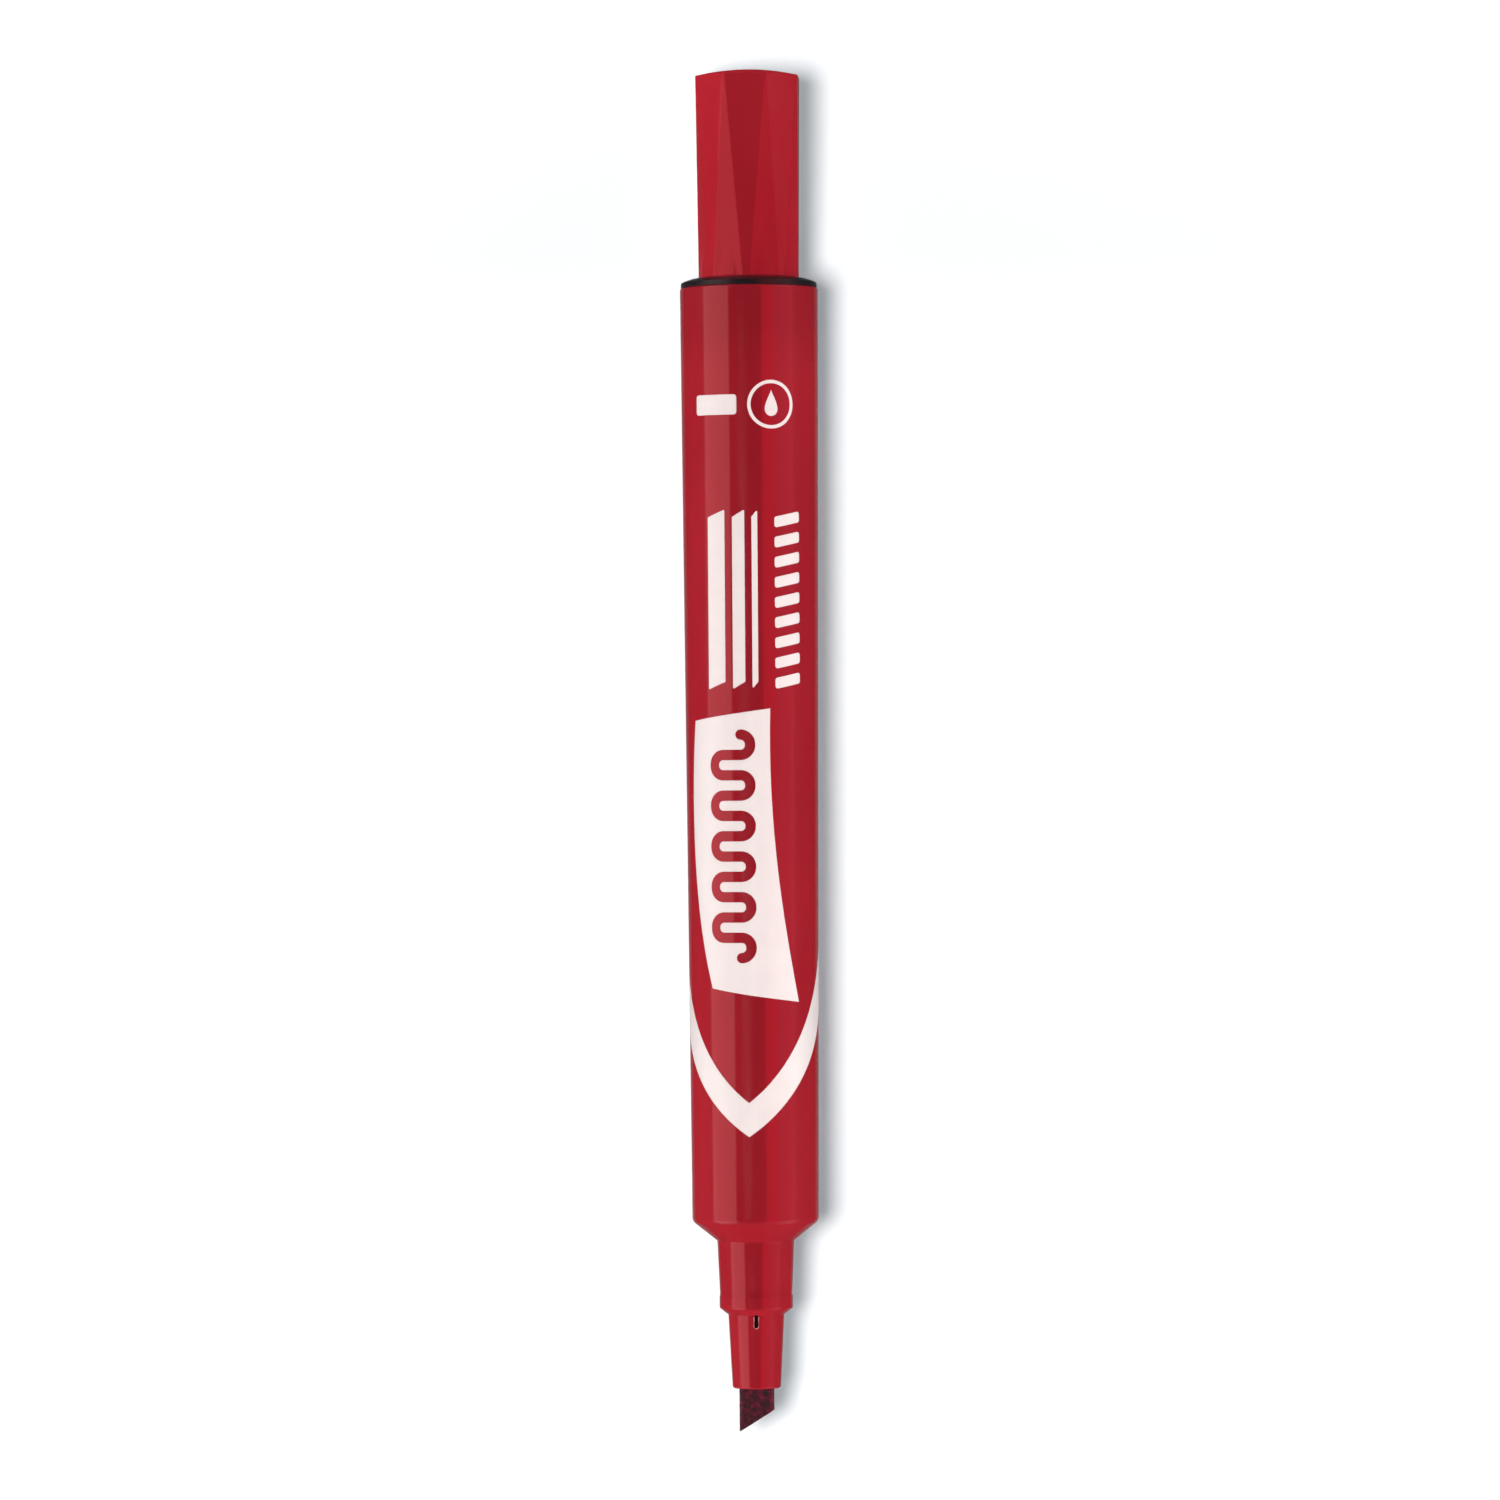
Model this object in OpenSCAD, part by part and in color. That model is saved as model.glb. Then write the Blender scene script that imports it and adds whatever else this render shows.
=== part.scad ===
/*
Felt tip marker with a slanted nib, lying on its side, with its cap posted on the rear plug.
Lengths are in millimetres. Each module is drawn along its own +Z, which runs from the nib towards
the cap and starts at the foot of the shoulder, where the closed cap would seat. Its +X faces up.
lay_down() turns that axis to +X and puts the origin on the table, under the middle of the marker.
*/

/* [Barrel] */
// Length from the foot of the shoulder to the rear edge
barrel_length = 114.2; // [100:0.1:125]
// Diameter at the rear edge
barrel_rear_d = 16.54; // [16.3:0.02:17.2]
// Diameter that the taper reaches at the foot of the shoulder
barrel_front_d = 15.1; // [14.8:0.02:15.6]
// Slope of the shoulder, measured from a flat face
shoulder_slope = 38.5; // [34:0.5:42]
// Rounding between the barrel and its shoulder
shoulder_round = 0.95; // [0.4:0.05:1.4]
// Number of long ribs inside the barrel that centre the ink core
rib_count = 6; // [4:1:8]

/* [Nose] */
// Diameter of the collar at the foot of the shoulder
collar_base_d = 9.2; // [9.16:0.01:9.24]
// Diameter of the collar just before its sealing land
collar_end_d = 8.62; // [8.5:0.02:8.7]
// Diameter of the raised land that the cap seals and clicks on
land_d = 8.78; // [8.72:0.01:8.8]
// Length of the land
land_length = 1.25; // [1:0.05:1.4]
// Distance from the foot of the shoulder to the middle of the land
land_at = 7.3; // [7.1:0.05:7.4]
// Diameter of the nib holder next to the collar
holder_base_d = 6.68; // [6.5:0.02:6.8]
// Diameter of the nib holder at its open end
holder_tip_d = 5.8; // [5.7:0.02:6]
// Distance from the foot of the shoulder to the open end of the nib holder
nose_length = 17.7; // [16.5:0.1:18.5]
// Width of the air vent slot
vent_width = 0.5; // [0.3:0.05:0.7]
// Length of the air vent slot
vent_length = 1.6; // [1:0.1:2]

/* [Nib] */
// Width of the felt nib across its broad face
nib_width = 4.2; // [4:0.05:4.3]
// Thickness of the felt nib
nib_thickness = 3; // [2.6:0.05:3.1]
// How far the long side of the nib stands out of the holder
nib_reach = 5.2; // [4.4:0.1:5.4]
// Angle between the slanted writing edge and a square cut
nib_slant = 32; // [25:1:40]

/* [Ink core] */
// Diameter of the fibre core
core_d = 12.18; // [11.8:0.02:12.2]
// Thickness of the clear film round the core
film = 0.1; // [0.08:0.01:0.12]

/* [Rear plug] */
// Diameter of the plug flange, seen as a ring between barrel and cap
flange_d = 16.32; // [16:0.02:16.4]
// Thickness of the flange where the cap rests on it
flange_height = 1.16; // [1:0.02:1.3]
// Length of the skirt that is pressed into the barrel
skirt_length = 8.2; // [6:0.1:10]

/* [Cap] */
// Length from the mouth to the top of the domed end
cap_length = 25.02; // [24.8:0.01:26]
// Rise of the domed end
dome_rise = 0.75; // [0.4:0.05:1]
// Facets that are wide at the closed end: distance from the axis at the mouth
wide_facet_mouth = 5.995; // [5.9:0.005:6.1]
// The same facets: distance from the axis at the closed end
wide_facet_end = 6.125; // [6.1:0.005:6.2]
// Facets that are wide at the mouth: distance from the axis at the mouth
mouth_facet_mouth = 5.68; // [5.6:0.01:5.75]
// The same facets: distance from the axis at the closed end
mouth_facet_end = 6.585; // [6.5:0.005:6.6]
// Diameter of the round mouth that shows as an arch in each facet
cap_mouth_d = 11.64; // [11.5:0.02:11.8]
// Turn of the facets away from straight up
facet_turn = -3.2; // [-22.5:0.1:22.5]
// Radial gap between the land and the cap bore
seal_gap = 0.02; // [0.01:0.01:0.05]

/* [Hidden] */
$fn = 96;
small_round_fn = 32;
// How far a cutting shape reaches past the face that it cuts
cut_margin = 1;

// Clearances and walls
fit_gap = 0.01;
seat_gap = 0.02;
nib_gap = 0.02;
rib_gap = 0.04;
core_end_gap = 0.05;
cap_mouth_gap = 0.06;
rear_wall = 1.17;
front_wall = 1.05;
nose_wall = 1.1;
plug_wall = 1;

// Barrel
barrel_rear_r = barrel_rear_d / 2;
barrel_front_r = barrel_front_d / 2;
barrel_taper = (barrel_rear_r - barrel_front_r) / barrel_length;
rear_edge_round = 0.25;
socket_r = barrel_rear_r - rear_wall;
socket_spare = 0.5;
socket_depth = skirt_length + socket_spare;
socket_step = 0.15;
bore_rear_r = socket_r - socket_step;
bore_front_r = barrel_front_r - front_wall;
bore_front_z = 7;
bore_neck_z = 2.9;

// Nose
collar_base_r = collar_base_d / 2;
collar_end_r = collar_end_d / 2;
collar_swell = 0.01;
land_r = land_d / 2;
land_ramp = 0.2;
holder_base_r = holder_base_d / 2;
holder_tip_r = holder_tip_d / 2;
holder_tip_round = 0.3;
step_slope = 36;
step_start_z = land_at + land_length / 2 + land_ramp;
step_end_z = step_start_z + (collar_end_r - holder_base_r) * tan(step_slope);
chamber_r = collar_end_r - nose_wall;
chamber_end_z = 7.6;
holder_chamber_r = 2.55;
holder_chamber_end_z = 12.5;
vent_floor_r = 2;
vent_cut_height = 2;

// Nib
nib_tip_z = nose_length + nib_reach;
nib_corner_r = 0.6;
nib_rear_z = 14;
nib_rear_slant = 30;

// Ink core
core_r = core_d / 2;
film_inner_r = core_r + fit_gap;
film_outer_r = film_inner_r + film;
core_front_z = 6.55;
core_rear_inset = 10.2;
core_rear_z = barrel_length - core_rear_inset;
film_inset = 0.5;
rib_width = 0.8;
rib_root = 0.1;
rib_inner_r = film_outer_r + rib_gap;
rib_outer_r = bore_rear_r + rib_root;
stop_inner_r = 4.4;
stop_depth = 2.3;

// Rear plug
flange_r = flange_d / 2;
flange_top_z = barrel_length + flange_height;
flange_flat_r = 6;
flange_crown_r = 4.4;
flange_edge_round = 0.12;
skirt_r = socket_r - fit_gap;
skirt_lead = 0.4;
web_thickness = 1;
stop_tube_r = 4.2;
stop_tube_end_z = core_rear_z + core_end_gap;
post_bore_r = collar_end_r - nose_wall;
post_end_inset = 0.05;
post_end_round = 0.5;
post_end_straight = 0.1;
post_end_z = flange_top_z + step_start_z + post_end_straight + post_end_round;

// Cap
cap_mouth_z = flange_top_z + seat_gap;
cap_top_z = cap_mouth_z + cap_length;
cap_blank_r = 8;
cap_rim_r = 6.3;
cap_rim_z = cap_top_z - dome_rise;
dome_r = (cap_rim_r * cap_rim_r + dome_rise * dome_rise) / (2 * dome_rise);
facet_pairs = 8;
facet_block = 30;
cap_bore_mouth_r = collar_base_r + cap_mouth_gap;
cap_bore_seal_r = land_r + seal_gap;
cap_bore_end_r = 4.25;
seal_start = 5.6;
seal_end = 8.8;
cap_bore_depth = 23.8;
cap_mouth_height = 6;

// Placing on the table
middle_z = (cap_top_z - nib_tip_z) / 2;

// Points of a rounded corner at p, between two edges whose outward normals point at angles a and b
function rounded_corner(p, a, b, radius, steps = 6) =
    let (na = [cos(a), sin(a)], nb = [cos(b), sin(b)])
    let (centre = p - radius * (na + nb) / (1 + na * nb))
    [for (i = [0:steps]) let (t = a + (b - a) * i / steps) centre + radius * [cos(t), sin(t)]];

// Outline of a cap seat, the collar and its land, which starts at z = 0 and runs down
function seat_outline() = [
    [collar_end_r, -(land_at + land_length / 2 + land_ramp)],
    [land_r, -(land_at + land_length / 2)],
    [land_r, -(land_at - land_length / 2)],
    [collar_end_r + collar_swell, -(land_at - land_length / 2 - land_ramp)],
    [collar_base_r, 0]
];

// The same outline for a seat that starts at z and runs up
function seat_outline_up(z) =
    let (down = seat_outline())
    [for (i = [len(down) - 1:-1:0]) [down[i][0], z - down[i][1]]];

module lay_down() {
    translate([-middle_z, 0, barrel_rear_r])
        rotate([180, -90, 0])
            children();
}

// ---- Barrel: tapered tube, shoulder, cap collar and nib holder in one moulding ----

function barrel_outline() =
    let (slope_per_r = tan(shoulder_slope))
    let (corner_z = (barrel_front_r - collar_base_r) * slope_per_r / (1 - barrel_taper * slope_per_r))
    let (corner_r = barrel_front_r + barrel_taper * corner_z)
    concat(
        [[0, -nose_length]],
        rounded_corner([holder_tip_r, -nose_length], -90, 0, holder_tip_round),
        [[holder_base_r, -step_end_z]],
        seat_outline(),
        rounded_corner([corner_r, corner_z], shoulder_slope - 90, 0, shoulder_round),
        rounded_corner([barrel_rear_r, barrel_length], 0, 90, rear_edge_round),
        [[0, barrel_length]]
    );

module barrel_bore() {
    rotate_extrude()
        polygon([
            [0, -holder_chamber_end_z],
            [holder_chamber_r, -holder_chamber_end_z],
            [holder_chamber_r, -step_start_z],
            [chamber_r, -chamber_end_z],
            [chamber_r, bore_neck_z],
            [bore_front_r, bore_front_z],
            [bore_rear_r, barrel_length - socket_depth],
            [socket_r, barrel_length - socket_depth + socket_step],
            [socket_r, barrel_length + cut_margin],
            [0, barrel_length + cut_margin]
        ]);
}

// A long rib that centres the film and core, with a foot that stops the core's front face
module core_rib() {
    rotate([90, 0, 0])
        linear_extrude(rib_width, center = true)
            polygon([
                [stop_inner_r, core_front_z - stop_depth],
                [rib_outer_r, core_front_z - stop_depth],
                [rib_outer_r, core_rear_z],
                [rib_inner_r, core_rear_z],
                [rib_inner_r, core_front_z],
                [stop_inner_r, core_front_z]
            ]);
}

// Air slot through the nib holder's wall, from the step down to a round front end
module vent_slot() {
    round_end_z = -step_end_z - vent_length + vent_width / 2;
    translate([vent_floor_r, 0, round_end_z])
        rotate([0, 90, 0])
            cylinder(h = vent_cut_height, d = vent_width, $fn = small_round_fn);
    translate([vent_floor_r, -vent_width / 2, round_end_z])
        cube([vent_cut_height, vent_width, vent_length - vent_width / 2]);
}

module nib_passage() {
    translate([0, 0, -nose_length - cut_margin])
        linear_extrude(nose_length - holder_chamber_end_z + 2 * cut_margin)
            nib_section(nib_gap);
}

module barrel() {
    color("#b41f2e")
        lay_down() {
            difference() {
                rotate_extrude()
                    polygon(barrel_outline());
                barrel_bore();
                nib_passage();
                vent_slot();
                rotate(180)
                    vent_slot();
            }
            for (i = [0:rib_count - 1])
                rotate(360 * (i + 0.5) / rib_count)
                    core_rib();
        }
}

// ---- Nib: felt bar with rounded corners and a slanted writing end ----

module nib_section(gap) {
    half_t = nib_thickness / 2 + gap;
    half_w = nib_width / 2 + gap;
    round_r = nib_corner_r + gap;
    square([2 * half_t, 2 * (half_w - round_r)], center = true);
    square([2 * (half_t - round_r), 2 * half_w], center = true);
    for (sx = [-1, 1], sy = [-1, 1])
        translate([sx * (half_t - round_r), sy * (half_w - round_r)])
            circle(r = round_r, $fn = small_round_fn);
}

// The nib's broad side as a flat outline, long side at negative width
module nib_side(gap) {
    half_w = nib_width / 2 + gap;
    rear_z = nib_rear_z + gap;
    polygon([
        [-half_w, -nib_tip_z],
        [half_w, -nib_tip_z + 2 * half_w * tan(nib_slant)],
        [half_w, rear_z - half_w * tan(nib_rear_slant)],
        [0, rear_z],
        [-half_w, rear_z - half_w * tan(nib_rear_slant)]
    ]);
}

module nib_bar(gap) {
    intersection() {
        translate([0, 0, -nib_tip_z])
            linear_extrude(nib_tip_z + nib_rear_z + gap)
                nib_section(gap);
        rotate([90, 0, 90])
            linear_extrude(2 * nib_thickness, center = true)
                nib_side(gap);
    }
}

module nib() {
    color("#4e1c26")
        lay_down()
            nib_bar(0);
}

// ---- Ink core and its film ----

module reservoir_core() {
    color("#8e1626")
        lay_down()
            difference() {
                translate([0, 0, core_front_z])
                    cylinder(h = core_rear_z - core_front_z, r = core_r);
                nib_bar(nib_gap);
            }
}

module reservoir_wrap() {
    color("#d8c9c4")
        lay_down()
            translate([0, 0, core_front_z + film_inset])
                difference() {
                    film_length = core_rear_z - core_front_z - 2 * film_inset;
                    cylinder(h = film_length, r = film_outer_r);
                    translate([0, 0, -cut_margin])
                        cylinder(h = film_length + 2 * cut_margin, r = film_inner_r);
                }
}

// ---- Rear plug: skirt, flange and the hollow post that carries the cap ----

// Crowned rear face of the flange, from its edge in to the flat that the cap rests on
function flange_crown(steps = 6) =
    let (sweep = asin((flange_r - flange_edge_round - flange_flat_r) / flange_crown_r))
    [for (i = [0:steps]) let (t = 90 - sweep + sweep * i / steps)
        [flange_flat_r, flange_top_z - flange_crown_r] + flange_crown_r * [cos(t), sin(t)]];

module end_plug() {
    skirt_end_z = barrel_length - skirt_length;
    flange_side_z = flange_crown()[0][1] - flange_edge_round;
    color("#1b1718")
        lay_down()
            rotate_extrude()
                polygon(concat(
                    [
                        [post_bore_r, stop_tube_end_z],
                        [stop_tube_r, stop_tube_end_z],
                        [stop_tube_r, barrel_length - web_thickness],
                        [skirt_r - plug_wall, barrel_length - web_thickness],
                        [skirt_r - plug_wall, skirt_end_z],
                        [skirt_r - skirt_lead / 2, skirt_end_z],
                        [skirt_r, skirt_end_z + skirt_lead],
                        [skirt_r, barrel_length],
                        [flange_r, barrel_length],
                        [flange_r, flange_side_z]
                    ],
                    flange_crown(),
                    seat_outline_up(flange_top_z),
                    rounded_corner([collar_end_r - post_end_inset, post_end_z], 0, 90, post_end_round),
                    [
                        [0, post_end_z],
                        [0, post_end_z - plug_wall],
                        [post_bore_r, post_end_z - plug_wall]
                    ]
                ));
}

// ---- Cap: sixteen leaning facets, a round mouth and a domed end ----

// A block whose one face is a facet plane, near at the mouth and far at the closed end
module facet_half_space(at_mouth, at_end) {
    facet_lean = atan((at_end - at_mouth) / (cap_rim_z - cap_mouth_z));
    translate([at_mouth, 0, cap_mouth_z])
        rotate([0, facet_lean, 0])
            translate([-facet_block, -facet_block / 2, -facet_block])
                cube([facet_block, facet_block, 3 * facet_block]);
}

module cap_facets() {
    intersection() {
        translate([0, 0, cap_mouth_z])
            cylinder(h = cap_length, r = cap_blank_r);
        translate([0, 0, cap_top_z - dome_r])
            sphere(r = dome_r);
        intersection_for (i = [0:facet_pairs - 1])
            rotate(facet_turn + i * 360 / facet_pairs)
                facet_half_space(wide_facet_mouth, wide_facet_end);
        intersection_for (i = [0:facet_pairs - 1])
            rotate(facet_turn + (i + 0.5) * 360 / facet_pairs)
                facet_half_space(mouth_facet_mouth, mouth_facet_end);
    }
}

module cap_bore() {
    translate([0, 0, cap_mouth_z])
        rotate_extrude()
            polygon([
                [0, -cut_margin],
                [cap_bore_mouth_r, -cut_margin],
                [cap_bore_mouth_r, 0],
                [cap_bore_seal_r, seal_start],
                [cap_bore_seal_r, seal_end],
                [cap_bore_end_r, cap_bore_depth],
                [0, cap_bore_depth]
            ]);
}

module cap() {
    color("#b41f2e")
        lay_down()
            difference() {
                union() {
                    cap_facets();
                    translate([0, 0, cap_mouth_z])
                        cylinder(h = cap_mouth_height, d = cap_mouth_d);
                }
                cap_bore();
            }
}

barrel();
nib();
reservoir_core();
reservoir_wrap();
end_plug();
cap();
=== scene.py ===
"""Looks of a felt tip marker that lies on a white table with its cap posted on the rear plug.

Marker coordinates, in millimetres, are used for every shape:
  along   distance from the foot of the shoulder, positive towards the cap
  turn    angle from straight up towards the viewer's right, in radians
  radius  distance from the marker's axis
to_row() turns them into the row frame, in metres, where +X is along the marker and +Z is up.
"""

import math

import bmesh
import bpy
import numpy as np
from mathutils import Matrix, Vector, noise


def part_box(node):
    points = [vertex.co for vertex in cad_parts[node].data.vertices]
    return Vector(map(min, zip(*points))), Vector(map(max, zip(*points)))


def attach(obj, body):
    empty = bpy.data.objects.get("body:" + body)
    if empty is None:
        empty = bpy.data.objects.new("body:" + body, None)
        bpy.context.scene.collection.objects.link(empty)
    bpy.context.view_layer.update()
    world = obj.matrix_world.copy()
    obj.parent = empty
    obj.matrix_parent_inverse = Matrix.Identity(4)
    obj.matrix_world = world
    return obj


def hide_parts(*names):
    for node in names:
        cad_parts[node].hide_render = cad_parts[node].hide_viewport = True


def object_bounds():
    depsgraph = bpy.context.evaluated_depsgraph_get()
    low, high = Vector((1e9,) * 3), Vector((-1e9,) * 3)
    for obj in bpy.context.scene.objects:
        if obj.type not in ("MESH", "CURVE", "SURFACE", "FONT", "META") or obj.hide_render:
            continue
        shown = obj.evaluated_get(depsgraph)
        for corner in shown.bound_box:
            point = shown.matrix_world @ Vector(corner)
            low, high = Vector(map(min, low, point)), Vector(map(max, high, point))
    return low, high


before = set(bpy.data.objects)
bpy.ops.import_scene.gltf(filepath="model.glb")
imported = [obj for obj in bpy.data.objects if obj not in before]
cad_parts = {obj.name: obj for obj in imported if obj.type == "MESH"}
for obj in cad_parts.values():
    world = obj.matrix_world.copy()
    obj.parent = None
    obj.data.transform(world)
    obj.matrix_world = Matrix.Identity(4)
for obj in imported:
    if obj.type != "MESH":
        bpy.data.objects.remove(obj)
cad_low, cad_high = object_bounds()

MM = 0.001

# ======== sizes that the frame gives
barrel_low, barrel_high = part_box("barrel")
cap_low, cap_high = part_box("cap")
plug_low, plug_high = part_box("end_plug")
nib_low, nib_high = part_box("nib")

AXIS_HEIGHT = (barrel_low.z + barrel_high.z) / 2
NOSE_LENGTH = 17.7
FOOT_X = barrel_low.x + NOSE_LENGTH * MM
BARREL_LENGTH = (barrel_high.x - FOOT_X) / MM
BARREL_REAR_R = (barrel_high.y - barrel_low.y) / 2 / MM
CAP_MOUTH = (cap_low.x - FOOT_X) / MM
CAP_TOP = (cap_high.x - FOOT_X) / MM
FLANGE_R = (plug_high.y - plug_low.y) / 2 / MM
NIB_TIP = (FOOT_X - nib_low.x) / MM
NIB_WIDTH = (nib_high.y - nib_low.y) / MM
NIB_THICKNESS = (nib_high.z - nib_low.z) / MM
NIB_REAR = (nib_high.x - FOOT_X) / MM

# ======== sizes that the CAD source shares
BARREL_FRONT_R = 7.55
SHOULDER_SLOPE = math.radians(38.5)
SHOULDER_ROUND = 0.95
REAR_EDGE_ROUND = 0.25
COLLAR_BASE_R = 4.6
COLLAR_END_R = 4.31
LAND_R = 4.39
LAND_LENGTH = 1.25
LAND_AT = 7.3
LAND_RAMP = 0.2
HOLDER_BASE_R = 3.34
HOLDER_TIP_R = 2.9
HOLDER_TIP_ROUND = 0.3
STEP_SLOPE = math.radians(36)
STEP_START = -(LAND_AT + LAND_LENGTH / 2 + LAND_RAMP)
STEP_END = STEP_START - (COLLAR_END_R - HOLDER_BASE_R) * math.tan(STEP_SLOPE)
BARREL_WALL = 1.17
SOCKET_R = BARREL_REAR_R - BARREL_WALL
SOCKET_DEPTH = 8.7
BORE_FRONT = 7.0
BORE_FRONT_R = 6.5
CHAMBER_REAR = 2.9
CHAMBER_FRONT = -7.6
CHAMBER_R = 3.21
HOLDER_CHAMBER_REAR = -8.12
HOLDER_CHAMBER_R = 2.55
HOLDER_CHAMBER_END = 12.5
VENT_REAR = STEP_START - 0.68
VENT_WIDTH = 0.5
VENT_LENGTH = 1.6
NIB_GAP = 0.02
NIB_CORNER_R = 0.6
NIB_SLANT = math.radians(32)
NIB_REAR_SLANT = math.radians(30)
CAP_GAP = 0.02
FLANGE_TOP = CAP_MOUTH - CAP_GAP
FLANGE_FLAT_R = 6.0
FLANGE_CROWN_R = 4.4
POST_END_ROUND = 0.5
POST_END_STRAIGHT = 0.1
POST_BORE_R = 3.21
PLUG_GAP = 0.01
PLUG_WALL = 1.0
SKIRT_END = BARREL_LENGTH - 8.2
STOP_TUBE_R = 4.2
STOP_TUBE_END = BARREL_LENGTH - 10.15
DOME_RISE = 0.75
FACETS_END = CAP_TOP - DOME_RISE
ARCHES_END = CAP_MOUTH + 6.0
CAP_RIM_R = 6.3
WIDE_FACET_MOUTH = 5.995
WIDE_FACET_END = 6.125
MOUTH_FACET_MOUTH = 5.68
MOUTH_FACET_END = 6.585
CAP_MOUTH_R = 5.82
CAP_BORE_MOUTH_R = 4.66
CAP_BORE_SEAL_R = 4.41
CAP_BORE_END_R = 4.25
CAP_BORE_DEPTH = 23.8
CAP_SEAL_START = 5.6
CAP_SEAL_END = 8.8
FACET_TURN = math.radians(-3.2)
FACET_PITCH = math.radians(45)

# ======== shape helpers


def full_turn(steps=48):
    """Evenly spaced angles round a full turn."""
    return 2 * math.pi * np.arange(steps) / steps


def to_row(along, turn, radius):
    """Marker coordinates (arrays, mm) as row-frame points (n x 3, metres)."""
    along, turn, radius = np.broadcast_arrays(along, turn, radius)
    x = FOOT_X + along * MM
    y = -radius * np.sin(turn) * MM
    z = AXIS_HEIGHT + radius * np.cos(turn) * MM
    return np.stack([x, y, z], axis=-1)


def rounded_corner(corner, normal_a, normal_b, radius, steps=8):
    """(along, radius) points of a rounded corner between two edges with these outward normals."""
    a = np.array([math.sin(normal_a), math.cos(normal_a)])
    b = np.array([math.sin(normal_b), math.cos(normal_b)])
    centre = np.array(corner) - radius * (a + b) / (1 + a @ b)
    angles = [normal_a + (normal_b - normal_a) * i / steps for i in range(steps + 1)]
    return [tuple(centre + radius * np.array([math.sin(t), math.cos(t)])) for t in angles]


def even_steps(start, end, step):
    """(along, radius) points from start to end, at most step apart, without start itself."""
    start, end = np.array(start), np.array(end)
    count = max(1, math.ceil(np.linalg.norm(end - start) / step))
    return [tuple(start + (end - start) * i / count) for i in range(1, count + 1)]


def fill_outline(points, step):
    """The outline with points added, so that no stretch of it is longer than step."""
    filled = [points[0]]
    for end in points[1:]:
        filled += even_steps(filled[-1], end, step)
    return filled


def smooth_step(x):
    """0 below 0, 1 above 1, and a smooth rise between."""
    x = np.clip(x, 0.0, 1.0)
    return x * x * (3 - 2 * x)


def smooth_min(x, y, blend):
    """The smaller of two arrays, rounded over where they come within blend of each other."""
    h = np.maximum(blend - np.abs(x - y), 0.0) / blend
    return np.minimum(x, y) - h * h * blend / 4


def headings(line):
    """The direction of a line of points at each of them."""
    last = len(line) - 1
    return [(line[min(i + 1, last)] - line[max(i - 1, 0)]).normalized() for i in range(last + 1)]


def add_object(name, data):
    """Puts a new object with this mesh, light or camera in the scene."""
    obj = bpy.data.objects.new(name, data)
    bpy.context.scene.collection.objects.link(obj)
    return obj


def smooth_object(name, b, mesh, sharp_angle):
    """Ends the edit b with outward normals, smooth except at edges sharper than sharp_angle."""
    bmesh.ops.recalc_face_normals(b, faces=b.faces)
    if b.calc_volume(signed=True) < 0:
        bmesh.ops.reverse_faces(b, faces=b.faces)
    for face in b.faces:
        face.smooth = True
    b.to_mesh(mesh)
    b.free()
    mesh.name = name
    mesh.set_sharp_from_angle(angle=math.radians(sharp_angle))
    return add_object(name, mesh)


def mesh_object(name, vertices, faces, sharp_angle=35):
    """A closed mesh object."""
    mesh = bpy.data.meshes.new(name)
    mesh.from_pydata([tuple(v) for v in vertices], [], faces)
    b = bmesh.new()
    b.from_mesh(mesh)
    bmesh.ops.remove_doubles(b, verts=b.verts, dist=1e-8)
    bmesh.ops.dissolve_degenerate(b, edges=b.edges, dist=1e-8)
    return smooth_object(name, b, mesh, sharp_angle)


def loft(name, rings, gap=-1, sharp_angle=35):
    """A closed mesh through rings of equal point count. The last ring joins the first.

    Ring number gap doesn't join the next one: a point in the middle closes each of the two.
    """
    rings = [np.asarray(ring) for ring in rings]
    rows, columns = len(rings), len(rings[0])
    vertices = list(np.concatenate(rings))
    closed = [] if gap is None else [gap % rows, (gap + 1) % rows]
    joined = [row for row in range(rows) if row not in closed[:1]]
    faces = []
    for i in range(columns):
        j = (i + 1) % columns
        for row in joined:
            this, following = row * columns, (row + 1) % rows * columns
            faces.append((this + i, this + j, following + j, following + i))
        for k, row in enumerate(closed):
            faces.append((row * columns + i, row * columns + j, rows * columns + k))
    vertices += [rings[row].mean(axis=0) for row in closed]
    return mesh_object(name, vertices, faces, sharp_angle)


def apply_boolean(target, cutter):
    """Cuts cutter out of target and removes cutter."""
    modifier = target.modifiers.new("cut", "BOOLEAN")
    modifier.operation = "DIFFERENCE"
    modifier.solver = "EXACT"
    modifier.object = cutter
    graph = bpy.context.evaluated_depsgraph_get()
    cut_mesh = bpy.data.meshes.new_from_object(target.evaluated_get(graph))
    target.modifiers.clear()
    target.data = cut_mesh
    bpy.data.objects.remove(cutter)


# ======== outlines of round parts


def barrel_radius(along):
    """Radius of the tapered barrel, past the shoulder."""
    return BARREL_FRONT_R + (BARREL_REAR_R - BARREL_FRONT_R) * along / BARREL_LENGTH


def seat_outline():
    """Collar with its raised land, for a seat whose foot is at 0 and which runs down from it."""
    land_low = -(LAND_AT + LAND_LENGTH / 2)
    land_high = -(LAND_AT - LAND_LENGTH / 2)
    edge_r = LAND_R - 0.006
    edge_inset = 0.05
    behind_land_r = COLLAR_END_R + 0.01
    fillet = 0.12
    fillet_low_r = COLLAR_BASE_R - 0.005
    fillet_high_r = COLLAR_BASE_R + 0.012
    return [
        (land_low - LAND_RAMP, COLLAR_END_R),
        (land_low - LAND_RAMP / 4, edge_r),
        (land_low + edge_inset, LAND_R),
        (land_high - edge_inset, LAND_R),
        (land_high + LAND_RAMP / 4, edge_r),
        (land_high + LAND_RAMP, behind_land_r),
        (-fillet, fillet_low_r),
        (-fillet / 4, fillet_high_r),
    ]


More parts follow.
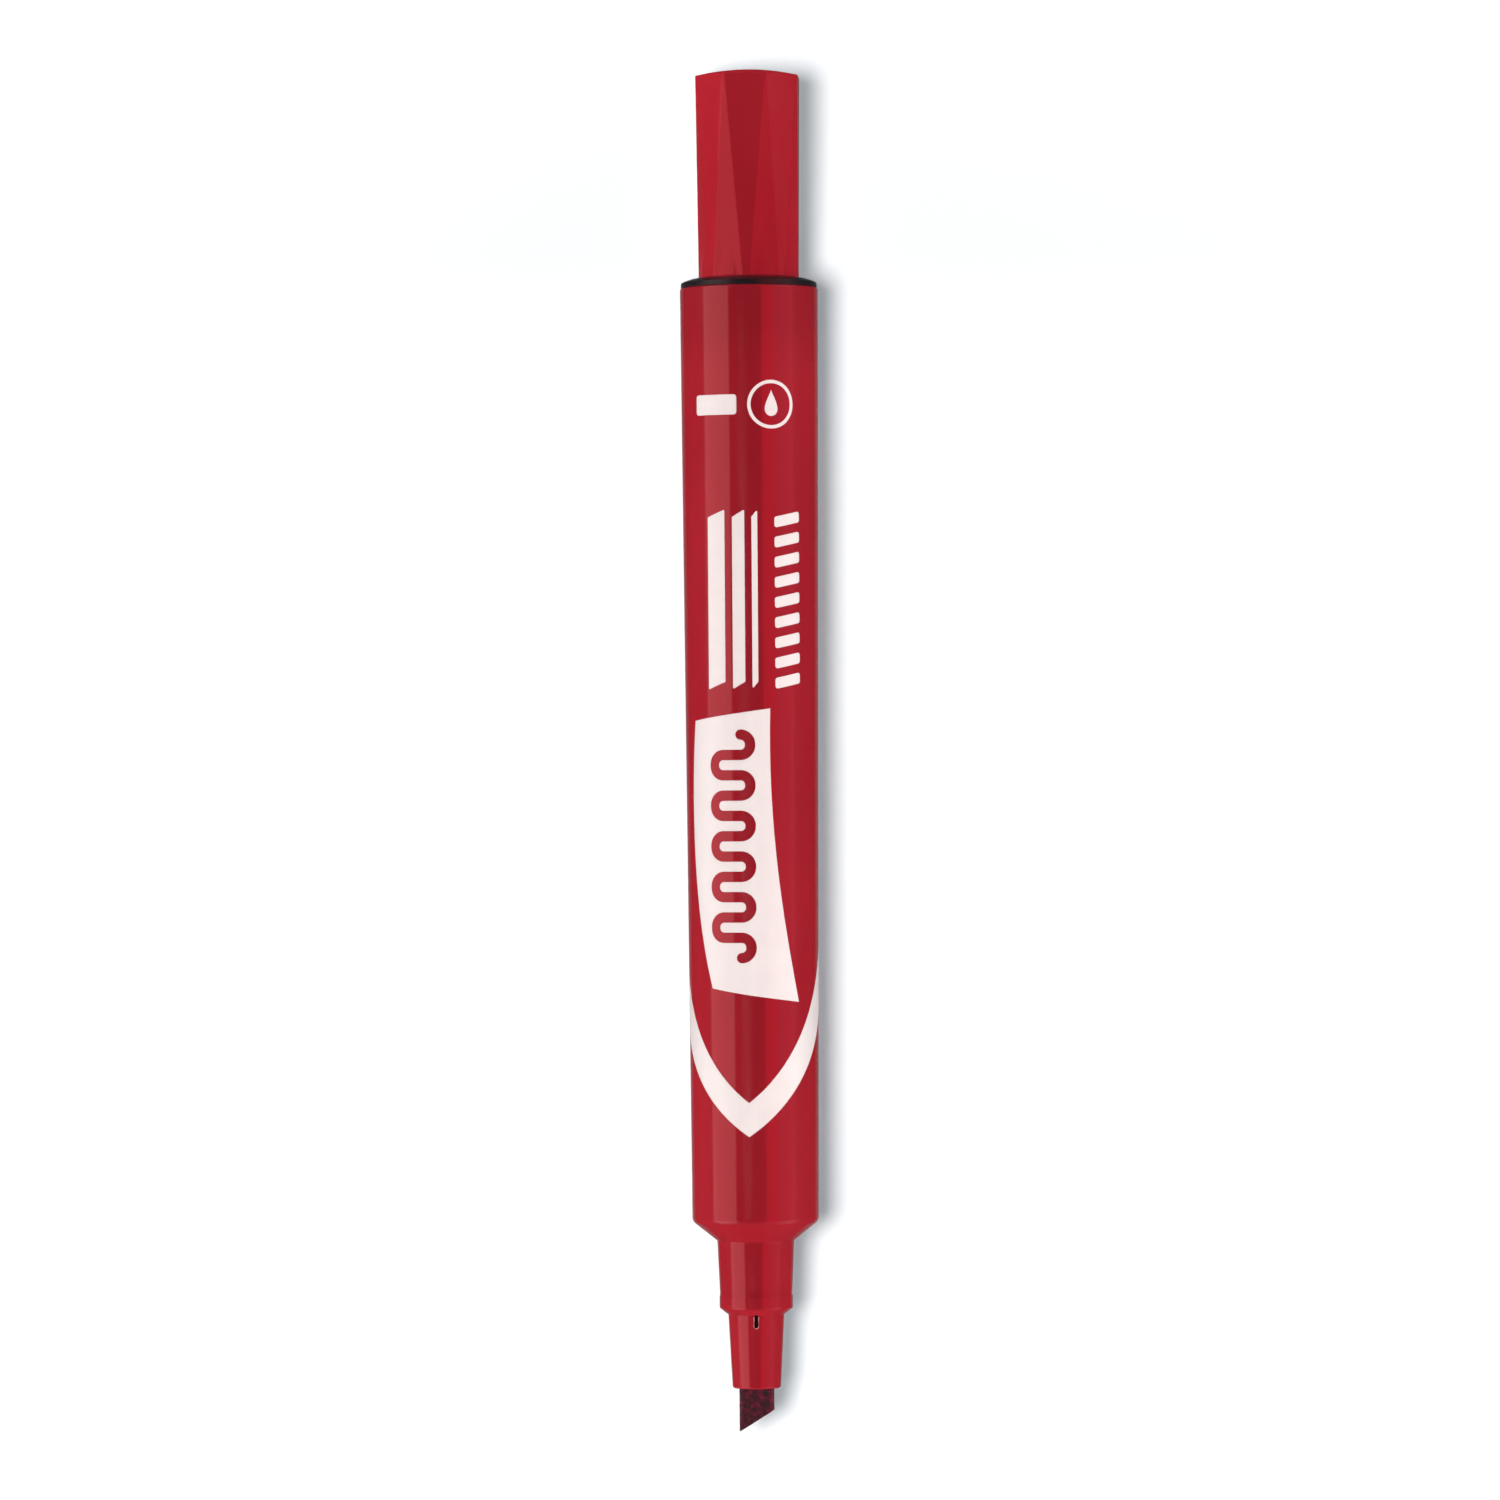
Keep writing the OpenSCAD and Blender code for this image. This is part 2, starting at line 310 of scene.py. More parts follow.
def holder_radius(along):
    """Radius of the tapered nib holder."""
    share = (STEP_END - along) / (STEP_END + NOSE_LENGTH)
    return HOLDER_BASE_R - (HOLDER_BASE_R - HOLDER_TIP_R) * share


def barrel_outer_outline():
    """The outside, from the nib holder's tip to the rear edge, with small fillets at its corners."""
    fillet, edge = 0.15, 0.05
    taper = (BARREL_REAR_R - BARREL_FRONT_R) / BARREL_LENGTH
    rise = math.tan(SHOULDER_SLOPE)
    corner = (BARREL_FRONT_R - COLLAR_BASE_R) * rise / (1 - taper * rise)
    down = -math.pi / 2
    outline = rounded_corner((-NOSE_LENGTH, HOLDER_TIP_R), down, 0, HOLDER_TIP_ROUND)
    outline += [
        (STEP_END - fillet, HOLDER_BASE_R),
        (STEP_END - 0.4 * edge, HOLDER_BASE_R + 0.4 * edge),
        (STEP_START - edge, COLLAR_END_R - 1.2 * edge),
    ]
    outline += seat_outline()
    shoulder_normal = SHOULDER_SLOPE - math.pi / 2
    outline += [(edge, COLLAR_BASE_R + edge / rise + 0.4 * edge)]
    outline += rounded_corner((corner, barrel_radius(corner)), shoulder_normal, 0, SHOULDER_ROUND)
    outline += rounded_corner((BARREL_LENGTH, BARREL_REAR_R), 0, -down, REAR_EDGE_ROUND)
    return outline


def barrel_inner_outline():
    """The hollow, from the rear edge to the front end of the nib holder's chamber."""
    edge = 0.08
    socket_end = BARREL_LENGTH - SOCKET_DEPTH
    step_length, step_height = 0.1, 0.15
    return [
        (BARREL_LENGTH, SOCKET_R + edge),
        (BARREL_LENGTH - edge, SOCKET_R),
        (socket_end, SOCKET_R),
        (socket_end - step_length, SOCKET_R - step_height),
        (BORE_FRONT, BORE_FRONT_R),
        (CHAMBER_REAR, CHAMBER_R),
        (CHAMBER_FRONT, CHAMBER_R),
        (HOLDER_CHAMBER_REAR, HOLDER_CHAMBER_R),
        (-HOLDER_CHAMBER_END, HOLDER_CHAMBER_R),
    ]


def rounded_box_radius(turn, half_up, half_side, corner):
    """Distance from the middle to the edge of a rounded rectangle, in direction turn."""
    up, side = np.abs(np.cos(turn)), np.abs(np.sin(turn))
    with np.errstate(divide="ignore"):
        flat = np.minimum(half_up / up, half_side / side)
    centre_up, centre_side = half_up - corner, half_side - corner
    middle = up * centre_up + side * centre_side
    spread = np.maximum(middle**2 - (centre_up**2 + centre_side**2 - corner**2), 0.0)
    arc = middle + np.sqrt(spread)
    in_corner = (flat * up > centre_up) & (flat * side > centre_side)
    return np.where(in_corner, arc, flat)


# ======== barrel

BARREL_COLUMNS = 384


def make_barrel():
    """The hollow barrel with the nib's passage through its holder and a vent slot on both sides."""
    turns = full_turn(BARREL_COLUMNS)
    long_step = 1.6
    outer = fill_outline(barrel_outer_outline(), long_step)
    inner = fill_outline(barrel_inner_outline(), 2 * long_step)
    edge = 0.1
    passage = rounded_box_radius(
        turns, NIB_THICKNESS / 2 + NIB_GAP, NIB_WIDTH / 2 + NIB_GAP, NIB_CORNER_R + NIB_GAP
    )
    rings = [to_row(along, turns, radius) for along, radius in outer + inner]
    passage_middle = (HOLDER_CHAMBER_END + NOSE_LENGTH) / 2
    for depth, wider in (
        (HOLDER_CHAMBER_END, 0), (passage_middle, 0), (NOSE_LENGTH - edge, 0),
        (NOSE_LENGTH - edge / 4, edge / 4), (NOSE_LENGTH, edge),
    ):
        rings.append(to_row(-depth, turns, passage + wider))
    barrel = loft("barrel_shell", rings, gap=None)
    for side in (0, math.pi):
        apply_boolean(barrel, vent_cutter(side))
    barrel.data.set_sharp_from_angle(angle=math.radians(35))
    return barrel


def vent_front(half, steps=12):
    """The round front end of a vent slot of this half width, as (along, across) points."""
    angles = np.linspace(-math.pi / 2, math.pi / 2, steps + 1)
    start = VENT_REAR - VENT_LENGTH + half
    return [(start - half * math.cos(t), half * math.sin(t)) for t in angles]


def vent_cutter(side):
    """A slot with a round front end that opens a little at the surface."""
    half = VENT_WIDTH / 2
    along, across = np.transpose(vent_front(half) + [(VENT_REAR, half), (VENT_REAR, -half)])
    outwards = np.sign(np.round(across, 6))
    lip = HOLDER_BASE_R - 0.02
    rings = []
    for height, flare in ((2.2, 0.0), (lip - 0.1, 0.0), (lip, 0.03), (lip + 0.48, 0.25)):
        wide = across + flare * outwards
        rings.append(to_row(along, np.arctan2(wide, height) + side, np.hypot(wide, height)))
    return loft("vent_cutter", rings)


def make_vent_burr():
    """The thin uneven flash that the mould leaves round the upper vent slot."""
    flash_start = VENT_REAR - 0.17
    half = VENT_WIDTH / 2 + 0.03
    side_points, side_step = 10, 0.13
    thickness, unevenness = 0.03, 0.035
    lumps_per_mm, seed = 4.37, 13.49
    line = [(flash_start - side_step * k, half) for k in range(side_points)]
    line += vent_front(half)[::-1]
    line += [(along, -across) for along, across in reversed(line[:side_points])]
    rings = []
    for (along, across), heading in zip(line, headings([Vector(p) for p in line])):
        nearby = Vector((along * lumps_per_mm, across * lumps_per_mm, seed))
        size = thickness + unevenness * max(noise.noise(nearby), -0.5)
        radius = holder_radius(along)
        ring = []
        for t in full_turn(8):
            out = size * math.cos(t)
            reach = (across + heading.x * out) / radius
            ring.append(to_row(along - heading.y * out, reach, radius + size * math.sin(t)))
        rings.append(np.array(ring))
    return loft("vent_burr", rings)


# ======== rear plug

PLUG_COLUMNS = 288
AXIS_RING_R = 0.4


def flange_outline():
    """Side, edge and crowned rear face of the flange, out from the barrel to the cap's seat."""
    edge = 0.12
    front_edge = 0.05
    sweep = math.asin((FLANGE_R - edge - FLANGE_FLAT_R) / FLANGE_CROWN_R)
    drop = FLANGE_CROWN_R * (1 - math.cos(sweep))
    side_end = FLANGE_TOP - drop - edge
    outline = [(BARREL_LENGTH, FLANGE_R - front_edge), (BARREL_LENGTH + front_edge, FLANGE_R)]
    outline += [(side_end, FLANGE_R), (side_end + 0.6 * edge, FLANGE_R - 0.25 * edge)]
    for t in np.linspace(sweep, 0, 13):
        along = FLANGE_TOP - FLANGE_CROWN_R * (1 - math.cos(t))
        outline.append((along, FLANGE_FLAT_R + FLANGE_CROWN_R * math.sin(t)))
    return outline


def make_end_plug():
    """Stop tube, skirt, flange and hollow post, from the tube's mouth round to the post's inside."""
    web = BARREL_LENGTH - PLUG_WALL
    skirt_r = SOCKET_R - PLUG_GAP
    lead_in_length, lead_in_height = 0.4, 0.2
    post_draft = 0.05
    post_end = FLANGE_TOP - STEP_START + POST_END_ROUND + POST_END_STRAIGHT
    outline = [
        (STOP_TUBE_END, POST_BORE_R),
        (STOP_TUBE_END, STOP_TUBE_R),
        (web, STOP_TUBE_R),
        (web, skirt_r - PLUG_WALL),
        (SKIRT_END, skirt_r - PLUG_WALL),
        (SKIRT_END, skirt_r - lead_in_height),
        (SKIRT_END + lead_in_length, skirt_r),
        (BARREL_LENGTH, skirt_r),
    ]
    outline += flange_outline()
    outline += [(FLANGE_TOP - along, radius) for along, radius in reversed(seat_outline())]
    end_corner = (post_end, COLLAR_END_R - post_draft)
    outline += rounded_corner(end_corner, 0, math.pi / 2, POST_END_ROUND)
    turns = full_turn(PLUG_COLUMNS)
    outline = fill_outline(outline, 1.0)
    outline += even_steps(outline[-1], (post_end, AXIS_RING_R), 0.8)
    end_face = len(outline) - 1
    outline += [(post_end - PLUG_WALL, AXIS_RING_R), (post_end - PLUG_WALL, POST_BORE_R)]
    rings = [to_row(along, turns, radius) for along, radius in outline]
    return loft("end_plug_body", rings, gap=end_face)


# ======== cap

EDGE_BLEND = 0.05
EDGE_HALF_WIDTH = 0.13


def facet_distances(along):
    """How far both kinds of facet lie from the axis at this place along the marker."""
    share = (along - CAP_MOUTH) / (FACETS_END - CAP_MOUTH)
    wide = WIDE_FACET_MOUTH + (WIDE_FACET_END - WIDE_FACET_MOUTH) * share
    mouth = MOUTH_FACET_MOUTH + (MOUTH_FACET_END - MOUTH_FACET_MOUTH) * share
    return wide, mouth


def cap_columns(along):
    """Turns of the columns at this place: they follow the facet edges and the round mouth's arches."""
    wide, mouth = facet_distances(along)
    half = FACET_PITCH / 2
    most, least_arch = 0.8, 0.02
    corner = math.atan2((mouth - wide * math.cos(half)) / math.sin(half), wide)
    edge = min(EDGE_HALF_WIDTH / wide, most * corner, most * (half - corner))
    arch = math.acos(min(mouth / CAP_MOUTH_R, 1.0))
    arch = min(max(arch, least_arch), half - corner - 1.5 * edge)
    knots = [0, corner - edge, corner + edge, half - arch, half]
    counts = [5, 8, 5, 6]
    side = [0.0]
    for low, high, count in zip(knots, knots[1:], counts):
        side += [low + (high - low) * i / count for i in range(1, count + 1)]
    side = np.array(side)
    one_pitch = np.concatenate([side, (FACET_PITCH - side[::-1])[1:-1]])
    turns = [one_pitch + i * FACET_PITCH for i in range(round(2 * math.pi / FACET_PITCH))]
    return np.concatenate(turns)


def cap_side_radius(along, turns):
    """Distance of the outer surface from the axis, with slightly rounded facet edges."""
    wide, mouth = facet_distances(along)
    from_wide = np.abs((turns + FACET_PITCH / 2) % FACET_PITCH - FACET_PITCH / 2)
    radius = smooth_min(
        wide / np.cos(from_wide), mouth / np.cos(FACET_PITCH / 2 - from_wide), EDGE_BLEND
    )
    if along < ARCHES_END:
        radius = np.maximum(radius, CAP_MOUTH_R)
    return radius


def cap_ring(along, turns, radius):
    """A ring in the cap's own turns."""
    return to_row(along, turns + FACET_TURN, radius)


def dome_height(radius):
    """Place along the marker of the closed end's outer face, with the mark of the mould's gate."""
    dimple_depth, dimple_r, dimple_slope = 0.12, 0.9, 0.35
    nub_height, nub_r, nub_slope = 0.09, 0.25, 0.2
    dome_r = (CAP_RIM_R**2 + DOME_RISE**2) / (2 * DOME_RISE)
    height = CAP_TOP - (dome_r - np.sqrt(dome_r**2 - radius**2))
    dimple = dimple_depth * (1 - smooth_step((radius - dimple_r) / dimple_slope))
    nub = nub_height * (1 - smooth_step((radius - nub_r) / nub_slope))
    return height - dimple + nub


def cap_outer_rings():
    """Rings from the round mouth's edge along the leaning facets and over the domed end."""
    rings = []
    mouth_edge, rim = 0.12, 0.22
    first = cap_columns(CAP_MOUTH)
    for t in np.linspace(0, math.pi / 2, 5)[:-1]:
        along = CAP_MOUTH + mouth_edge * (1 - math.sin(t))
        radius = cap_side_radius(CAP_MOUTH, first) - mouth_edge * (1 - math.cos(t))
        rings.insert(0, cap_ring(along, first, radius))
    near_mouth = np.linspace(CAP_MOUTH + 2 * mouth_edge, ARCHES_END, 24)
    far = np.linspace(ARCHES_END, FACETS_END - 0.35, 20)[1:]
    for along in np.concatenate([near_mouth, far]):
        turns = cap_columns(along)
        rings.append(cap_ring(along, turns, cap_side_radius(along, turns)))
    turns = cap_columns(FACETS_END)
    inner = cap_side_radius(FACETS_END, turns) - rim
    for t in np.linspace(0, math.pi / 2, 7):
        radius = inner + rim * math.cos(t)
        along = dome_height(inner) - 0.9 * rim * (1 - math.sin(t))
        rings.append(cap_ring(along, turns, radius))
    towards_gate = [inner * share for share in (0.9, 0.75, 0.6, 0.45, 0.3)]
    for radius in towards_gate + [1.5, 1.3, 1.15, 1.0, 0.85, 0.6, 0.45, 0.35, 0.25, 0.1]:
        rings.append(cap_ring(dome_height(radius), turns, radius))
    return rings


def make_cap():
    """The bore from its closed end to the mouth, then the outside from the mouth to the dome."""
    turns = cap_columns(CAP_MOUTH)
    end_chamfer, mouth_chamfer = 0.3, 0.1
    bore = [
        (CAP_BORE_DEPTH, 0.1),
        (CAP_BORE_DEPTH, CAP_BORE_END_R - end_chamfer),
        (CAP_BORE_DEPTH - end_chamfer, CAP_BORE_END_R),
        (CAP_SEAL_END, CAP_BORE_SEAL_R),
        (CAP_SEAL_START, CAP_BORE_SEAL_R),
        (1.2 * mouth_chamfer, CAP_BORE_MOUTH_R),
        (0.0, CAP_BORE_MOUTH_R + mouth_chamfer),
    ]
    bore = fill_outline(bore, 1.2)
    inner = [cap_ring(CAP_MOUTH + depth, turns, radius) for depth, radius in bore]
    return loft("cap_shell", inner + cap_outer_rings())


# ======== nib

NIB_COLUMNS = 224
NIB_SEED_OFFSET = Vector((3.7, 11.3, 5.1))


def nib_section():
    """Points round the nib's section as (up, side), evenly spaced along its edge."""
    fine = full_turn(8 * NIB_COLUMNS)
    radius = rounded_box_radius(fine, NIB_THICKNESS / 2, NIB_WIDTH / 2, NIB_CORNER_R)
    up, side = radius * np.cos(fine), radius * np.sin(fine)
    steps = np.hypot(np.diff(up, append=up[0]), np.diff(side, append=side[0]))
    reached = np.concatenate([[0], np.cumsum(steps)])
    wanted = np.linspace(0, reached[-1], NIB_COLUMNS, endpoint=False)
    return (
        np.interp(wanted, reached, np.append(up, up[0])),
        np.interp(wanted, reached, np.append(side, side[0])),
    )


def nib_ring(up, side, along):
    """A ring through points given by their distances up and to the side of the axis."""
    return to_row(along, np.arctan2(side, up), np.hypot(up, side))


def slanted_face(side):
    """Place along the marker of the nib's slanted writing face."""
    return -NIB_TIP + (side + NIB_WIDTH / 2) * math.tan(NIB_SLANT)


def make_nib():
    """The felt bar from its pointed rear end, in coarse rings, to the finely divided free end."""
    up, side = nib_section()
    front = slanted_face(side)
    rear = NIB_REAR - np.abs(side) * math.tan(NIB_REAR_SLANT)
    fine_start = 0.8 - NOSE_LENGTH
    edge = 0.08
    rings = [nib_ring(up * s, side * s, NIB_REAR - (NIB_REAR - rear) * s) for s in (0.02, 0.5)]
    for share in np.linspace(0, 1, 14):
        rings.append(nib_ring(up, side, rear + (fine_start - rear) * share))
    for share in np.linspace(0, 1, 70)[1:]:
        rings.append(nib_ring(up, side, fine_start + (front + edge - fine_start) * share))
    half_up, half_side = NIB_THICKNESS / 2, NIB_WIDTH / 2
    for t in np.linspace(0, math.pi / 2, 6)[1:]:
        inset = edge * (1 - math.cos(t))
        shrunk_up, shrunk_side = up * (1 - inset / half_up), side * (1 - inset / half_side)
        face = slanted_face(shrunk_side) + edge * (1 - math.sin(t))
        rings.append(nib_ring(shrunk_up, shrunk_side, face))
    for share in np.linspace(1, 0.03, 26)[1:]:
        face_up, face_side = shrunk_up * share, shrunk_side * share
        rings.append(nib_ring(face_up, face_side, slanted_face(face_side)))
    nib = loft("nib_felt", rings, sharp_angle=60)
    roughen_felt(nib)
    return nib


def roughen_felt(nib):
    """Pushes the exposed felt in and out by a few hundredths of a millimetre, as matted fibre does."""
    lump_height, strand_height, pit_depth, all_over = 0.008, 0.010, 0.06, 0.015
    holder_end = FOOT_X - NOSE_LENGTH * MM
    gap, fade = 0.05 * MM, 0.5 * MM
    mesh = nib.data
    normals = [v.normal.copy() for v in mesh.vertices]
    for vertex, normal in zip(mesh.vertices, normals):
        free = float(smooth_step((holder_end - gap - vertex.co.x) / fade))
        if free <= 0:
            continue
        p = vertex.co / MM + NIB_SEED_OFFSET
        lumps = noise.fractal(p * 1.3, 0.8, 2.0, 2)
        strands = noise.fractal(Vector((p.x * 2.2, p.y * 6.5, p.z * 6.5)), 0.7, 2.1, 3)
        pits = max(noise.noise(p * 4.2) - 0.25, 0.0)
        depth = lump_height * lumps + strand_height * strands - pit_depth * pits - all_over
        vertex.co += normal * depth * free * MM
    mesh.update()


# ======== printed decoration

PRINT_RISE = 0.012
PRINT_SINK = 0.006
PRINT_STEP_ROUND = 0.3
PRINT_STEP_ALONG = 1.5
MARKS_FRONT = 66.0


def to_barrel(along, across, lift):
    """A point of the print, given along the marker and round the barrel, both in mm."""
    radius = barrel_radius(along)
    return to_row(along, across / radius, radius + lift)


def round_polygon(corners, radius, steps=6):
    """A closed outline with its corners rounded."""
    outline = []
    count = len(corners)
    for i in range(count):
        before, here, after = (Vector(corners[(i + k) % count]) for k in (-1, 0, 1))
        into, out = before - here, after - here
        half = into.angle(out) / 2
        reach = min(radius / math.tan(half), 0.45 * into.length, 0.45 * out.length)
        start, end = here + into.normalized() * reach, here + out.normalized() * reach
        for k in range(steps + 1):
            t = k / steps
            outline.append(tuple((1 - t) ** 2 * start + 2 * t * (1 - t) * here + t * t * end))
    return outline


def stroke(centre_line, width, steps=8):
    """Closed outline of a line of this width with round ends."""
    line = [Vector(p) for p in centre_line]
    ways = headings(line)
    half = width / 2
    left = [p + half * Vector((-way.y, way.x)) for p, way in zip(line, ways)]
    right = [p - half * Vector((-way.y, way.x)) for p, way in zip(line, ways)]

    def end_cap(middle, heading):
        start = math.atan2(heading.x, -heading.y)
        angles = [start - math.pi * k / steps for k in range(1, steps)]
        return [middle + half * Vector((math.cos(t), math.sin(t))) for t in angles]

    outline = left + end_cap(line[-1], ways[-1]) + right[::-1] + end_cap(line[0], -ways[0])
    return [tuple(p) for p in outline]


def oval(centre, length, width, taper=0.0):
    """A closed oval outline. With a taper it comes to a point towards the cap, as a drop does."""
    outline = []
    for t in full_turn():
        across = centre[1] + width / 2 * math.sin(t) * math.sin(t / 2) ** taper
        outline.append((centre[0] + length / 2 * math.cos(t), across))
    return outline


def slanted_bar(front, low, length, width, slant, corner_radius):
    """A closed four-sided outline whose far side is shifted along the marker by slant."""
    back, high = front + length, low + width
    corners = [(front, low), (front + slant, high), (back + slant, high), (back, low)]
    return round_polygon(corners, corner_radius)


def serpentine(start, end, across, swing, turns, bend, steps=12):
    """Centre line of a rounded back-and-forth line that advances along the marker."""
    pitch = (end - start) / turns
    straight = pitch / 2 - bend
    line = []
    for i in range(turns):
        side = 1 if i % 2 == 0 else -1
        middle = start + pitch * (i + 0.5)
        for shift, first in ((-straight, -math.pi / 2), (straight, 0.0)):
            for k in range(steps + 1):
                t = first + math.pi / 2 * k / steps
                reach = swing - bend + bend * math.cos(t)
                line.append((middle + shift + bend * math.sin(t), across + side * reach))
    return line


def curved_panel(corners, bulges, steps=14):
    """A closed outline through the corners whose sides bow outwards by the bulges."""
    outline = []
    count = len(corners)
    for i in range(count):
        here, after = Vector(corners[i]), Vector(corners[(i + 1) % count])
        side = after - here
        outward = Vector((side.y, -side.x)).normalized()
        for k in range(steps):
            t = k / steps
            outline.append(tuple(here + side * t + outward * (4 * bulges[i] * t * (1 - t))))
    return outline


def flat_print(name, loops):
    """A flat plate with these outlines, in mm, with its top above and its underside below zero."""
    curve = bpy.data.curves.new(name, "CURVE")
    curve.dimensions = "2D"
    curve.fill_mode = "BOTH"
    curve.extrude = 0.5
    for loop in loops:
        spline = curve.splines.new("POLY")
        spline.points.add(len(loop) - 1)
        for point, (along, across) in zip(spline.points, loop):
            point.co = (along, across, 0, 1)
        spline.use_cyclic_u = True
    flat = add_object(name + "_flat", curve)
    graph = bpy.context.evaluated_depsgraph_get()
    mesh = bpy.data.meshes.new_from_object(flat.evaluated_get(graph))
    bpy.data.objects.remove(flat)
    return mesh


def slice_evenly(b, axis, step):
    """Cuts every face at multiples of step along this axis, so that the plate can bend."""
    low = min(v.co[axis] for v in b.verts)
    high = max(v.co[axis] for v in b.verts)
    for k in range(math.ceil(low / step), math.ceil(high / step)):
        place, normal = [0, 0, 0], [0, 0, 0]
        place[axis], normal[axis] = k * step, 1
        everything = b.verts[:] + b.edges[:] + b.faces[:]
        bmesh.ops.bisect_plane(b, geom=everything, dist=1e-5, plane_co=place, plane_no=normal)


def make_print(name, loops):
    """A thin closed film of ink on the barrel. Loops inside a loop are left open."""
    mesh = flat_print(name, loops)
    b = bmesh.new()
    b.from_mesh(mesh)
    bmesh.ops.remove_doubles(b, verts=b.verts, dist=1e-4)
    slice_evenly(b, 1, PRINT_STEP_ROUND)
    slice_evenly(b, 0, PRINT_STEP_ALONG)
    for vertex in b.verts:
        lift = PRINT_RISE if vertex.co.z > 0 else -PRINT_SINK
        vertex.co = Vector(to_barrel(vertex.co.x, vertex.co.y, lift))
    return smooth_object(name, b, mesh, sharp_angle=40)


def make_chevron_band():
    """A band round the barrel that points at the nib in front and at the cap behind."""
    columns, strips = 240, 4
    middle = math.radians(-5)
    point, slope, bend, curve_end = 12.7, 5.2, 2.5, 1.5
    from_middle = np.linspace(-math.pi, math.pi, columns, endpoint=False)
    reach = np.abs(from_middle)
    curved = np.minimum(reach, curve_end)
    nib_edge = point + slope * reach + bend * curved * (2 * reach - curved)
    width = 4.05 + 0.6 * curved + 1.1 * curved**2
    top, under = [], []
    for row in range(strips + 1):
        along = nib_edge + width * row / strips
        radius = barrel_radius(along)
        top.append(to_row(along, from_middle + middle, radius + PRINT_RISE))
        under.append(to_row(along, from_middle + middle, radius - PRINT_SINK))
    return loft("print_chevron_band", top + under[::-1], gap=None, sharp_angle=40)


def make_panel():
    """A panel with bowed sides and a rounded wave left open in it."""
    corners = [(30.4, -5.3), (62.3, -8.0), (63.7, 2.2), (28.7, 5.9)]
    panel = curved_panel(corners, [1.7, 0.0, -1.2, 0.1])
    wave = serpentine(start=34.0, end=60.6, across=-2.5, swing=2.25, turns=11, bend=1.15)
    return make_print("print_panel", [panel, stroke(wave, 1.25)])


def make_line_samples():
    """Three lines of falling width, as the marker would draw them, with slanted ends."""
    lines = []
    for across, width in ((-4.35, 2.3), (-1.5, 1.5), (0.45, 0.7)):
        lines.append(slanted_bar(MARKS_FRONT, across - width / 2, 20.5, width, 0.9, 0.15))
    return make_print("print_line_samples", lines)


def make_dashes():
    """A row of nine slanted dashes."""
    pitch = 2.4
    dashes = [slanted_bar(MARKS_FRONT + pitch * i, 2.9, 1.3, 3.5, 0.7, 0.35) for i in range(9)]
    return make_print("print_dashes", dashes)


def make_drop_mark():
    """A drop in a ring, beside a plain bar."""
    along, across = 99.9, 2.6
    ring = [oval((along, across), diameter, diameter) for diameter in (5.8, 5.0)]
    drop = oval((along + 0.15, across), 3.1, 2.3, taper=1.6)
    bar = slanted_bar(98.7, -7.2, 2.4, 5.6, 0.0, 0.4)
    return make_print("print_drop_mark", ring + [drop, bar])


def make_prints():
    """Generic marks with no lettering."""
    return [make_panel(), make_line_samples(), make_dashes(), make_drop_mark(), make_chevron_band()]


# ======== materials

MIX_SHARE = 0
MIX_FROM = 6
MIX_TO = 7
MIX_RESULT = 2


